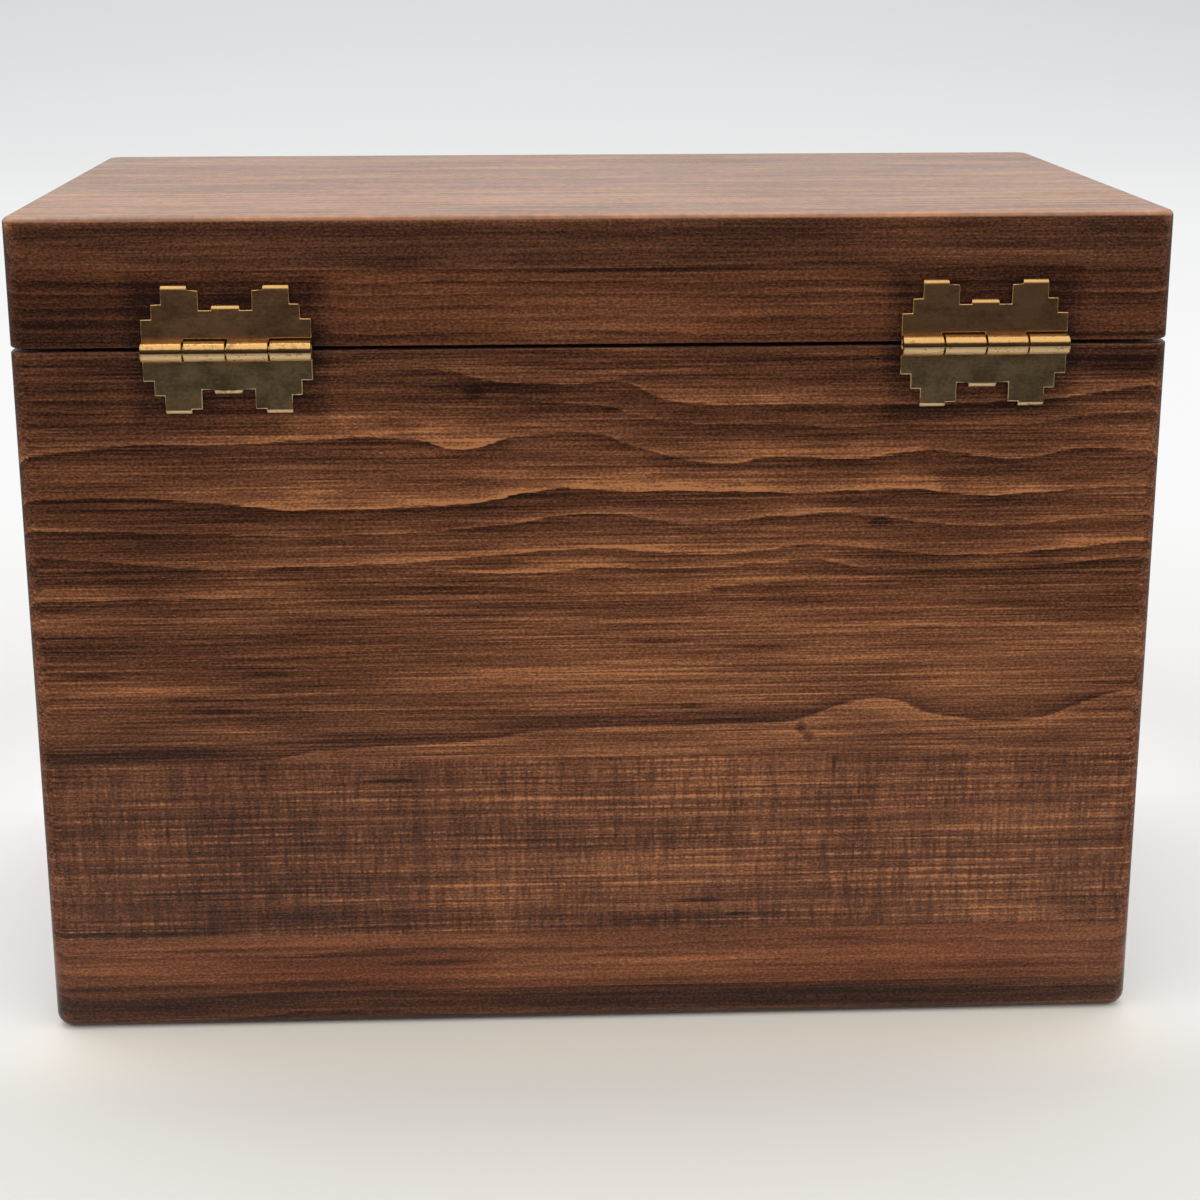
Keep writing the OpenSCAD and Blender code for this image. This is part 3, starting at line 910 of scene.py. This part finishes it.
def ray_kinds(net):
    """Whether a ray comes from the camera or through glass, and whether it is a reflection."""
    path = net.node("ShaderNodeLightPath")
    camera, glass, glossy = (Field(net, path.outputs[f"Is {kind} Ray"])
                             for kind in ("Camera", "Transmission", "Glossy"))
    return net.math("ADD", camera, glass, clamp=True), glossy


# The backdrop's glowing tone by how far it is from the box, as a share of BACKDROP_REACH, in
# metres: a painted fall-off of light
BACKDROP_REACH = 4.0
BACKDROP = (
    (0.0, screen(250, 250, 249)),
    (0.16, screen(249, 249, 249)),
    (0.33, screen(238, 239, 239)),
    (0.42, screen(229, 230, 231)),
    (0.50, screen(213, 214, 216)),
    (1.0, screen(205, 206, 208)),
)


def near_floor(net, settings, reach):
    """Colour of the lit floor, with painted light and shade: paler beside the box, a painted fill
    light that lifts its shadow; warmer where it meets the back, painted light bounced off the
    wood; greyer nearer the camera, a painted shadow of the box; and even from about 18 cm off."""
    x, y, z = net.place()
    # Painted light bounced off the wood: warm where the floor meets the back.
    painted_bounce_light = net.rise(y, 30, 58) * net.rise(abs(x), 105, 75)
    # Painted shadow of the box: greyer towards the camera.
    painted_dimming_to_camera = net.rise(y, 54, 80)
    colour = net.mix(painted_bounce_light, screen(248, 247, 245), screen(250, 241, 226))
    colour = net.mix(painted_dimming_to_camera, colour, screen(229, 225, 217))
    # Painted fill light: paler near the box, which lifts its shadow.
    near = net.rise(reach, 0.18, 0.09) + net.noise((x / 35, y / 60, z), detail=4) * 0.2
    return net.mix(near, settings.floor, colour)


def floor_finish(settings):
    """Matt floor near the box, which turns into a pale backdrop away from it, glowing in tones
    that darken with reach as a painted fall-off of light. Gloss sees it warmer, and dim in three
    places: far beyond the box, low beside it, and near the camera and behind it."""
    material, net, shader = new_finish("pale_floor")
    x, y, z = net.place()
    reach = net.root(x * x + y * y + z * z) / MM
    net.feed(shader.inputs["Base Color"], near_floor(net, settings, reach))
    shader.inputs["Roughness"].default_value = 0.7
    shader.inputs["Specular IOR Level"].default_value = 0.2

    seen, mirrored = ray_kinds(net)
    tones = net.ramp(reach / BACKDROP_REACH, BACKDROP)
    warmed = net.mix(1.0, tones, (1.0, 0.975, 0.93), blend="MULTIPLY")
    tones = net.mix(mirrored, tones, warmed)
    beyond = net.rise(y, -60, -160) * net.rise(z, 260, 180)
    beside = net.rise(abs(x), 95, 125) * net.rise(z, 60, 20)
    painted_dimming_to_camera = net.rise(y, 120, 210)
    dim = net.larger(painted_dimming_to_camera, net.larger(beyond, beside) * 0.8) * mirrored
    glow = net.node("ShaderNodeEmission")
    net.feed(glow.inputs["Color"], net.mix(dim, tones, settings.dim_side))

    blend = net.node("ShaderNodeMixShader")
    away = net.rise(reach, 0.06, 0.36) * net.math("ADD", seen, mirrored, clamp=True)
    net.feed(blend.inputs[0], net.larger(away, dim))
    net.tree.links.new(shader.outputs[0], blend.inputs[1])
    net.tree.links.new(glow.outputs[0], blend.inputs[2])
    output = net.tree.nodes["Material Output"]
    net.tree.links.new(blend.outputs[0], output.inputs["Surface"])
    return material


def room_light(settings):
    """A pale room: brightest overhead, weaker at the horizon and dim behind the camera, above
    all for gloss. Where the camera sees it directly it has the backdrop's colour."""
    world = bpy.data.worlds.new("pale_room")
    world.use_nodes = True
    bpy.context.scene.world = world
    net = Net(world.node_tree)
    _, y, z = net.parts(net.node("ShaderNodeTexCoord").outputs["Generated"])
    height = net.rise(z, -0.1, 0.75)
    strength = height * (settings.sky_high - settings.sky_low) + settings.sky_low
    seen, mirrored = ray_kinds(net)
    behind_camera = net.rise(y, 0.1, 0.7) * net.rise(z, 0.7, 0.1)
    strength = strength * (1.0 - behind_camera * (mirrored * 0.65 + 0.2))
    background = world.node_tree.nodes["Background"]
    shade = net.mix(mirrored, (0.97, 0.985, 1.0), (1.0, 0.985, 0.95))
    shade = net.mix(seen, shade, screen(228, 230, 231))
    net.feed(background.inputs["Color"], shade)
    net.feed(background.inputs["Strength"], strength * (1.0 - seen) + seen)


def aim(obj, target, roll=0.0):
    """Turns obj so that its -Z looks at target, and then rolls it about that line."""
    turn = (Vector(target) - obj.location).to_track_quat("-Z", "Y").to_matrix()
    obj.rotation_euler = (turn @ Matrix.Rotation(roll, 3, "Z")).to_euler()


def soft_lamp(name, place, target, size, power):
    """An even rectangular lamp that the camera doesn't see."""
    lamp = bpy.data.lights.new(name, "AREA")
    lamp.shape = "RECTANGLE"
    lamp.size, lamp.size_y = size
    lamp.energy = power
    obj = bpy.data.objects.new(name, lamp)
    bpy.context.scene.collection.objects.link(obj)
    obj.location = place
    obj.visible_camera = False
    aim(obj, target)


class RECIPEBOX_OT_stage(bpy.types.Operator):
    """Set up the camera, the pale floor with its backdrop, and the soft light"""

    bl_idname = "recipe_box.stage"
    bl_label = "Stage"

    def execute(self, context):
        scene = context.scene
        settings = scene.recipe_box_stage
        camera = bpy.data.cameras.new("camera")
        camera.lens = settings.lens
        camera.sensor_width = 36
        camera.clip_start, camera.clip_end = 0.01, 50
        holder = bpy.data.objects.new("camera", camera)
        scene.collection.objects.link(holder)
        holder.location = settings.camera_place
        aim(holder, settings.camera_aim, settings.camera_roll)
        scene.camera = holder
        scene.view_settings.view_transform = "Standard"

        floor = grid_surface("floor_and_wall", floor_points())
        floor.data.materials.append(floor_finish(settings))
        room_light(settings)
        soft_lamp("overhead_lamp", place=(0.05, -0.26, 0.8), target=(0, 0, 0.05),
                  size=(0.9, 0.6), power=settings.lamp_power)
        return {"FINISHED"}


class RECIPEBOX_PT_panel(bpy.types.Panel):
    """Sizes, colours and steps of the recipe card box"""

    bl_idname = "RECIPEBOX_PT_panel"
    bl_label = "Recipe Card Box"
    bl_space_type = "VIEW_3D"
    bl_region_type = "UI"
    bl_category = "Recipe Box"

    def draw(self, context):
        scene = context.scene
        for group in (scene.recipe_box_stage, scene.recipe_box_wood, scene.recipe_box_brass):
            box = self.layout.box()
            for name in group.__annotations__:
                box.prop(group, name)
        for step in STEPS:
            self.layout.operator(step.bl_idname)


GROUPS = {
    "recipe_box_stage": StageSettings,
    "recipe_box_wood": WoodSettings,
    "recipe_box_brass": BrassSettings,
}
STEPS = (
    RECIPEBOX_OT_stage,
    RECIPEBOX_OT_body_boards,
    RECIPEBOX_OT_lid_boards,
    RECIPEBOX_OT_hinge_leaves,
    RECIPEBOX_OT_hinge_pins,
)


def register():
    """Adds the settings, the steps and the panel to Blender."""
    for name, group in GROUPS.items():
        bpy.utils.register_class(group)
        setattr(bpy.types.Scene, name, PointerProperty(type=group))
    for step in (*STEPS, RECIPEBOX_PT_panel):
        bpy.utils.register_class(step)


def unregister():
    """Takes the panel, the steps and the settings away again."""
    for step in (RECIPEBOX_PT_panel, *reversed(STEPS)):
        bpy.utils.unregister_class(step)
    for name, group in GROUPS.items():
        delattr(bpy.types.Scene, name)
        bpy.utils.unregister_class(group)


def main():
    """Finishes the box and sets its stage."""
    register()
    bpy.ops.recipe_box.stage()
    bpy.ops.recipe_box.body_boards()
    bpy.ops.recipe_box.lid_boards()
    bpy.ops.recipe_box.hinge_leaves()
    bpy.ops.recipe_box.hinge_pins()


if __name__ == "__main__":
    main()
